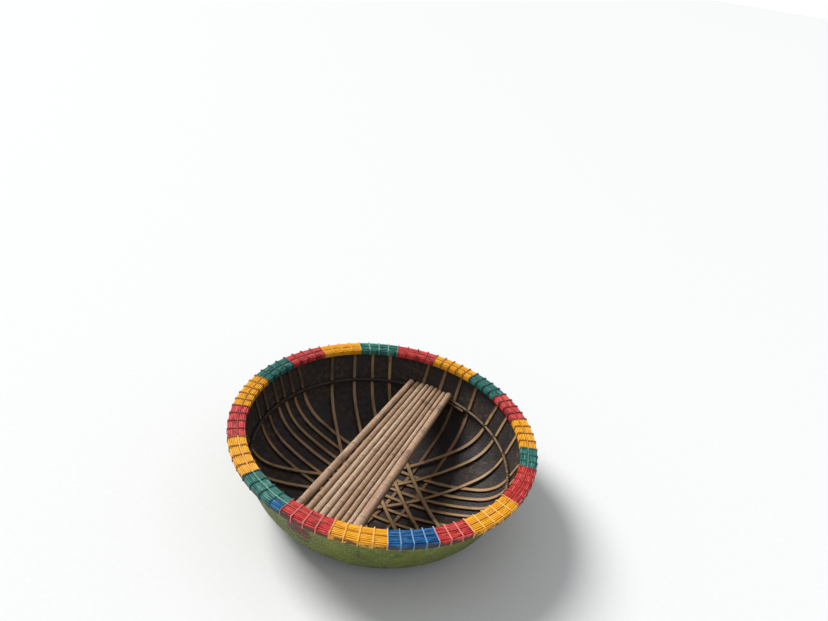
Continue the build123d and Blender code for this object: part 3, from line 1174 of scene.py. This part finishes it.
def bare_share(finish, turn, reach, z, brush, patches):
    """Where the paint is gone: low on the outer face, below a ragged level."""
    broad = finish.noise(finish.place, 11.0, 4.0, 0.55)
    peeling = number_by_stretch(finish, turn, [peeling_share[colour] for colour in stretch_paints])
    level = finish.plus(z, finish.times(finish.minus(brush, 0.5), 0.03))
    level = finish.minus(level, finish.times(finish.minus(broad, 0.5), 0.07))
    level = finish.minus(level, finish.times(peeling, 0.035))
    low_down = finish.span(level, bare_from_level, bare_full_level)
    patchy = finish.span(finish.minus(finish.plus(patches, peeling), 0.46), 0.0, 0.04)
    outside = finish.span(reach, outer_face_from, outer_face_full)
    return finish.times(finish.times(low_down, patchy), outside)


def rim_finish(name):
    """Paint in stretches round the rim, with streaks, uneven laths, dirt and painted shade in the grooves
    and bare places.
    """
    finish = Finish(name)
    turn, reach, z = finish.round_the_boat()
    along, across = finish.map_of("along")
    off_middle, off_top = finish.map_of("off_top")
    streaks = finish.grain(along, across, 12.0, 380.0, 0.0, 4.0, 0.6)
    brush = finish.grain(along, across, 9.0, 260.0, 7.0, 5.0, 0.6)
    patches = finish.noise(finish.place, 26.0, 6.0, 0.62)
    painted = painted_stretches(finish, turn, reach, brush)
    colour = finish.cover(painted, paint(232, 222, 204), brush, 0.5, 0.75, 0.14)
    streak_dirt = finish.mix(0.75, painted, paint(30, 16, 18))
    colour = finish.cover(colour, streak_dirt, streaks, 0.46, 0.3, 0.65)
    shadow = by_stretch(finish, turn, shadows)
    lath = finish.math("FLOOR", finish.times(finish.minus(reach, off_middle), 420.0))
    lath_tone = finish.grain(turn, lath, 70.0, 5.37, 0.0, 2.0, 0.5)
    uneven = number_by_stretch(finish, turn, [lath_unevenness[colour] for colour in stretch_paints])
    colour = finish.mix(finish.times(finish.span(lath_tone, 0.46, 0.62), uneven), colour, shadow)
    colour = finish.cover(colour, by_stretch(finish, turn, pale_tones), lath_tone, 0.44, 0.34, 0.16)
    # Dirt and painted shade darken the grooves between the laths, near their tops.
    groove = finish.span(finish.off(off_middle, 0.0), 0.0028, 0.0046)
    near_top = finish.span(off_top, -0.007, -0.003)
    broken = finish.span(brush, 0.35, 0.6, 1.0, 0.35)
    groove_dirt_and_shade = finish.mix(0.3, shadow, paint(24, 14, 14))
    in_groove = finish.times(finish.times(groove, near_top), broken)
    colour = finish.mix(in_groove, colour, groove_dirt_and_shade)
    colour = finish.cover(colour, paint(104, 74, 50), patches, 0.62, 0.68, 0.6)
    bare = by_stretch(finish, turn, bare_tones)
    bare = finish.cover(bare, paint(112, 84, 62), streaks, 0.4, 0.62, 0.6)
    share = finish.times(bare_share(finish, turn, reach, z, brush, patches), 0.96)
    colour = finish.mix(share, colour, bare)
    rough = finish.span(patches, 0.35, 0.65, 0.42, 0.62)
    finish.shader.inputs["Specular IOR Level"].default_value = 0.3
    return finish.shade(colour, rough, finish.bump(streaks, 0.0005, 0.6))


# %% Dress the rim
rim_paint = rim_finish("rim_paint")
random.seed(31)
for node, corner in (("rim_laths_inner", 0.0032), ("rim_laths_outer", 0.0032), ("rim_cap", 0.0024)):
    points = cad_points(node)
    reach = np.linalg.norm(points[:, :2], axis=1)
    ring_walls = walls(points)
    pieces = []
    for inside, outside in zip(ring_walls[::2], ring_walls[1::2]):
        here = points[np.abs(reach - inside) < 0.0002]
        first_angle = random.uniform(0, 360)
        first_sweep = random.uniform(150, 210)
        low, high = here[:, 2].min(), here[:, 2].max()
        lengths = ((first_angle, first_sweep), (first_angle + first_sweep, 360 - first_sweep))
        for angle, sweep in lengths:
            pieces.append(bent_lath("lath", inside, outside, low, high, angle, sweep - lath_end_gap, corner))
    laths = join_pieces(pieces, node + "_bamboo")
    smooth(laths, 40)
    fit_out(laths, [rim_paint], [node])
    print(node, "rings", len(ring_walls) // 2, [round(wall, 4) for wall in ring_walls])

# %% [markdown]
# ## Lashings
# Two painted turns of cord bind the rim's section at the end of each bay. On part of the rim a darker turn
# lies beside them, for dirt and painted shade. One turn is a rectangle with bevelled corners, made into a
# curve with a round section, and copied to the places of the CAD lashings.

# %% Lashings
def islands(node):
    """The middle of each separate solid in a CAD node."""
    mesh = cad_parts[node].data
    flat = np.empty(len(mesh.vertices) * 3, np.float32)
    mesh.vertices.foreach_get("co", flat)
    points, which = np.unique(flat.reshape(-1, 3).round(5), axis=0, return_inverse=True)
    ends = np.empty(len(mesh.edges) * 2, np.int32)
    mesh.edges.foreach_get("vertices", ends)
    first, second = which.ravel()[ends].reshape(-1, 2).T
    label = np.arange(len(points))
    while True:
        lowest = np.minimum(label[first], label[second])
        before = label.copy()
        np.minimum.at(label, first, lowest)
        np.minimum.at(label, second, lowest)
        if (label == before).all():
            break
    solids = [points[label == name] for name in np.unique(label)]
    return np.array([(solid.min(axis=0) + solid.max(axis=0)) / 2 for solid in solids])


def cord_loop(name, corners, rounding, radius):
    """A closed turn of cord through corner points in the plane of X and Z."""
    bpy.ops.object.select_all(action="DESELECT")
    bpy.ops.mesh.primitive_plane_add(size=1, rotation=(math.pi / 2, 0, 0))
    loop = bpy.context.object
    loop.name = name
    settle(loop)
    middle = sum((Vector(corner) for corner in corners), Vector((0, 0, 0))) / len(corners)
    verts = sorted(loop.data.vertices, key=lambda vert: math.atan2(vert.co.z, vert.co.x))
    places = sorted(corners, key=lambda corner: math.atan2(corner[2] - middle.z, corner[0] - middle.x))
    for vert, place in zip(verts, places):
        vert.co = place
    open_mesh(loop)
    bpy.ops.mesh.select_all(action="SELECT")
    bpy.ops.mesh.bevel(offset=rounding, segments=3, affect="VERTICES", offset_type="OFFSET")
    pick(loop, "faces", lambda face: True)
    bpy.ops.mesh.delete(type="ONLY_FACE")
    close_mesh()
    take(loop)
    bpy.ops.object.convert(target="CURVE")
    loop.data.bevel_depth = radius
    loop.data.bevel_resolution = 1
    bpy.ops.object.convert(target="MESH")
    return loop


# A tone for each stretch, from -1, dark with dirt and painted shade, to 1, pale with wear and painted
# highlight
lashing_tones = (
    -0.3, 0.5, -0.1, -0.85, -0.8, -0.75, -0.8, -0.6, -0.3, 0.5,
    0.35, 0.55, 0.5, 0.4, -0.3, -0.2, -0.85, -0.9, -0.85, -0.75,
)
spine_tones = (
    -0.3, 0.0, 0.0, -0.5, -0.5, -0.4, -0.2, 0.4, 0.5, 0.2,
    0.0, 0.2, 0.2, 0.3, 0.0, 0.2, -0.3, -0.5, -0.5, -0.3,
)


def cord_grain(finish):
    """The fibres of a cord, and broad patches on it."""
    fibres = finish.noise(finish.stretch(finish.place, 380, 380, 380), 1.0, 3.0, 0.6)
    return fibres, finish.noise(finish.place, 14.0, 5.0, 0.6)


def cord_finish(name, tones):
    """Cord painted with the rim, each stretch in its own tone: darker with dirt and painted shade, paler
    with wear and painted highlight.
    """
    finish = Finish(name)
    turn, _, _ = finish.round_the_boat()
    fibres, patches = cord_grain(finish)
    colours = []
    for base, tone, shadow, pale in zip(stretch_paints, tones, shadows, pale_tones):
        # A negative tone darkens the paint with dirt and painted shade; a positive one pales it with wear
        # and painted highlight.
        far_end = pale if tone > 0 else shadow
        colours.append(tuple(near + (far - near) * abs(tone) for near, far in zip(base, far_end)))
    colour = by_stretch(finish, turn, colours)
    dirty = finish.mix(0.25, by_stretch(finish, turn, shadows), paint(84, 60, 44))
    colour = finish.cover(colour, dirty, patches, 0.56, 0.7, 0.5)
    colour = finish.cover(colour, dirty, fibres, 0.5, 0.32, 0.4)
    return finish.shade(colour, 0.65, finish.bump(fibres, 0.0005, 0.8))


def dark_cord_finish(name, tint):
    """Dark cord, with tar and dirt, under a share of the rim's paint. Beside the lashings it also stands for
    painted shade.
    """
    finish = Finish(name)
    fibres, patches = cord_grain(finish)
    colour = finish.mix(patches, paint(30, 22, 20), paint(62, 46, 38))
    colour = finish.cover(colour, paint(22, 16, 15), fibres, 0.5, 0.32, 0.6)
    if tint > 0:
        turn, _, _ = finish.round_the_boat()
        colour = finish.mix(tint, colour, by_stretch(finish, turn, stretch_paints))
    return finish.shade(colour, 0.75, finish.bump(fibres, 0.0005, 0.8))


rim_inside = float(np.linalg.norm(cad_points("rim_laths_inner")[:, :2], axis=1).min())
cord_radius = 0.0018
dirt_and_shade_cord_radius = 0.0012
cord_clear = 0.0003 + cord_radius
cord_bend = 0.006
dirt_and_shade_turn_place = 2.7
no_dirt_and_shade_turn = ((252, 352), (110, 147))
lash_corners = (
    (rim_inside - cord_clear, 0, rim_underside - cord_clear),
    (rim_outside + cord_clear, 0, rim_underside - cord_clear),
    (rim_outside + cord_clear, 0, rim_top + cord_clear),
    (rim_inside - cord_clear, 0, rim_top + cord_clear),
)
cord = cord_finish("lashing_cord", lashing_tones)
spine_cord = cord_finish("spine_cord_paint", spine_tones)
dirt_and_shade_cord = dark_cord_finish("dirt_and_shade_cord", 0.2)
tie_cord = dark_cord_finish("tie_cord", 0.0)
one_turn = cord_loop("lashing", lash_corners, cord_bend, cord_radius)
one_dirt_and_shade_turn = cord_loop("dirt_and_shade_lashing", lash_corners, cord_bend, dirt_and_shade_cord_radius)
random.seed(47)
painted_turns = []
dirt_and_shade_turns = []
lash_places = islands("rim_lashings")
lash_angles = sorted(math.degrees(math.atan2(middle[1], middle[0])) % 360 for middle in lash_places)
for angle in lash_angles:
    # Outside two arcs, a dark third turn lies beside each lashing, for dirt and painted shade.
    painted_only = any(first < angle < last for first, last in no_dirt_and_shade_turn)
    for side in (-1, 1) if painted_only else (-1, 1, dirt_and_shade_turn_place):
        is_dirt_and_shade = side == dirt_and_shade_turn_place
        turn_copy = own_copy(one_dirt_and_shade_turn if is_dirt_and_shade else one_turn, "lashing_turn")
        skew = math.radians(random.uniform(-0.8, 0.8))
        about = Vector(((rim_inside + rim_outside) / 2, 0, 0))
        tilt = Matrix.Translation(about) @ Matrix.Rotation(skew, 4, "Z") @ Matrix.Translation(-about)
        aside = Matrix.Translation((0, side * (cord_radius + random.uniform(0.0001, 0.0004)), 0))
        turn_copy.matrix_world = Matrix.Rotation(math.radians(angle), 4, "Z") @ aside @ tilt
        settle(turn_copy)
        (dirt_and_shade_turns if is_dirt_and_shade else painted_turns).append(turn_copy)
bpy.data.objects.remove(one_turn)
bpy.data.objects.remove(one_dirt_and_shade_turn)
bound = ((painted_turns, "lashing_cords", cord), (dirt_and_shade_turns, "lashing_dirt_and_shade_cords", dirt_and_shade_cord))
for turns, name, finish in bound:
    lashings = join_pieces(turns, name)
    smooth(lashings, 60)
    fit_out(lashings, [finish], ["rim_lashings"])
print(len(lash_angles), "lashings")

# %% [markdown]
# A double cord runs along the middle of the rim's top and is knotted to each lashing that it crosses.

# %% Cord along the top
spine_radius = 0.0015
spine_apart = 0.0021
spine_middle = round(sum(walls(cad_points("rim_cap"))) / 2, 5)
spine_level = rim_top + 0.0002 + spine_radius
spines = []
for side in (-1, 1):
    bpy.ops.object.select_all(action="DESELECT")
    bpy.ops.mesh.primitive_torus_add(
        major_segments=410,
        minor_segments=6,
        major_radius=spine_middle + side * spine_apart,
        minor_radius=spine_radius,
        location=(0, 0, spine_level),
    )
    spine = bpy.context.object
    settle(spine)
    phases = [random.uniform(0, 2 * math.pi) for _ in range(2)]
    for vert in spine.data.vertices:
        turn = math.atan2(vert.co.y, vert.co.x)
        drift = 0.0016 * math.sin(17 * turn + phases[0]) + 0.0009 * math.sin(41 * turn + phases[1])
        vert.co.xy *= 1 + drift / spine_middle
    spines.append(spine)
knot_place = (spine_middle, 0, spine_level + 0.0004)
for angle in lash_angles:
    bpy.ops.mesh.primitive_uv_sphere_add(segments=10, ring_count=6, radius=1, location=knot_place)
    knot = bpy.context.object
    knot.scale = (0.0052, 0.0062, 0.0021)
    knot.rotation_euler.z = random.uniform(-0.5, 0.5)
    settle(knot)
    knot.rotation_euler.z = math.radians(angle)
    settle(knot)
    spines.append(knot)
spine = join_pieces(spines, "spine_cord")
smooth(spine, 60)
fit_out(spine, [spine_cord], ["rim_lashings"])

# %% [markdown]
# ## Ties of the hoop
# Where a rib passes under the hoop, double cord crosses over the pole in an X. One cord is extruded from
# point to point over the pole, made round, and copied in both slants to the places of the CAD ties.

# %% Hoop ties
tie_radius = 0.0015
tie_reach = 0.027
tie_apart = 0.0016
tie_bend = 0.006
seat_slope = Vector((math.sin(wall_lean), 0, math.cos(wall_lean)))
seat_normal = Vector((-math.cos(wall_lean), 0, math.sin(wall_lean)))
hoop_centre = Vector((hoop_radius, 0, hoop_level))
over_hoop = hoop_pole_radius - 0.0008 + tie_radius

# Metres along the hoop and away from the mat, from the pole's centre
tie_path = (
    (-tie_reach, -0.0188),
    (-0.0233, -0.002),
    (-0.0120, over_hoop),
    (0.0120, over_hoop),
    (0.0233, -0.002),
    (tie_reach, -0.0188),
)


def tie_turn(slant):
    """Half a turn of cord over the hoop at azimuth 0, from the mat on one side to the mat on the other."""
    along = (Vector((0, 1, 0)) + seat_slope * slant).normalized()
    bpy.ops.object.select_all(action="DESELECT")
    bpy.ops.mesh.primitive_plane_add(size=0.001)
    turn = bpy.context.object
    open_mesh(turn)
    bpy.ops.mesh.select_all(action="SELECT")
    bpy.ops.mesh.merge(type="CENTER")
    points = [hoop_centre + along * reach + seat_normal * height for reach, height in tie_path]
    bpy.ops.transform.translate(value=points[0])
    for last, point in zip(points, points[1:]):
        bpy.ops.mesh.extrude_vertices_move(TRANSFORM_OT_translate={"value": point - last})
    bpy.ops.mesh.select_all(action="SELECT")
    bpy.ops.mesh.bevel(offset=tie_bend, segments=3, affect="VERTICES")
    close_mesh()
    take(turn)
    bpy.ops.object.convert(target="CURVE")
    turn.data.bevel_depth = tie_radius
    turn.data.bevel_resolution = 1
    turn.data.use_fill_caps = True
    bpy.ops.object.convert(target="MESH")
    return turn


both_slants = [tie_turn(1), tie_turn(-1)]
ties = []
tie_places = islands("hoop_ties")
for middle in tie_places:
    angle = math.atan2(middle[1], middle[0])
    for one in both_slants:
        for aside in (-tie_apart, tie_apart):
            tie = own_copy(one, "tie_turn")
            tie.matrix_world = Matrix.Rotation(angle, 4, "Z") @ Matrix.Translation(seat_slope * aside)
            settle(tie)
            ties.append(tie)
for one in both_slants:
    bpy.data.objects.remove(one)
hoop_ties = join_pieces(ties, "hoop_tie_cords")
smooth(hoop_ties, 60)
fit_out(hoop_ties, [tie_cord], ["hoop_ties"])
print(len(tie_places), "ties")

# %% [markdown]
# ## Floor, light and sky
# The boat floats, so the floor is a pale sheet at its waterline, with a round hole that hides in the
# thickness of the mat. The light is a broad soft lamp high on the left and a bright plain sky.

# %% Stage
floor_reaches = (1.2, 4.0, 60.0, 900.0)
bpy.ops.object.select_all(action="DESELECT")
bpy.ops.mesh.primitive_circle_add(vertices=160, radius=water_radius, location=(0, 0, waterline))
floor = bpy.context.object
floor.name = "floor"
settle(floor)
open_mesh(floor)
bpy.ops.mesh.select_all(action="SELECT")
for reach in floor_reaches:
    now = max(vert.co.xy.length for vert in bmesh.from_edit_mesh(floor.data).verts)
    bpy.ops.mesh.extrude_edges_move()
    bpy.ops.transform.resize(value=(reach / now, reach / now, 1), center_override=(0, 0, waterline))
close_mesh()
pale = Finish("pale_floor")
speckle = pale.noise(pale.place, 30.0, 4.0)
floor.data.materials.append(pale.shade(pale.mix(speckle, paint(226, 226, 224), paint(232, 232, 230)), 0.9))

lamp_data = bpy.data.lights.new("soft_lamp", "SUN")
lamp_data.angle = math.radians(25)
lamp_data.energy = 3.45
lamp = bpy.data.objects.new("soft_lamp", lamp_data)
bpy.context.scene.collection.objects.link(lamp)
lamp_place = Vector((-4.0, 0.5, 4.0))
lamp_turn = (-lamp_place).to_track_quat("-Z", "Y").to_matrix().to_4x4()
lamp.matrix_world = Matrix.Translation(lamp_place) @ lamp_turn

world = bpy.data.worlds.new("sky")
bpy.context.scene.world = world
world.use_nodes = True
sky = world.node_tree.nodes["Background"]
sky.inputs["Color"].default_value = (0.92, 0.95, 1.0, 1)
sky.inputs["Strength"].default_value = 0.5
white = world.node_tree.nodes.new("ShaderNodeBackground")
white.inputs["Color"].default_value = (1, 1, 1, 1)
chooser = world.node_tree.nodes.new("ShaderNodeMixShader")
seen = world.node_tree.nodes.new("ShaderNodeLightPath")
surface = world.node_tree.nodes["World Output"].inputs["Surface"]
world.node_tree.links.new(seen.outputs["Is Camera Ray"], chooser.inputs["Fac"])
world.node_tree.links.new(sky.outputs["Background"], chooser.inputs[1])
world.node_tree.links.new(white.outputs["Background"], chooser.inputs[2])
world.node_tree.links.new(chooser.outputs["Shader"], surface)
bpy.context.scene.view_settings.view_transform = "Standard"
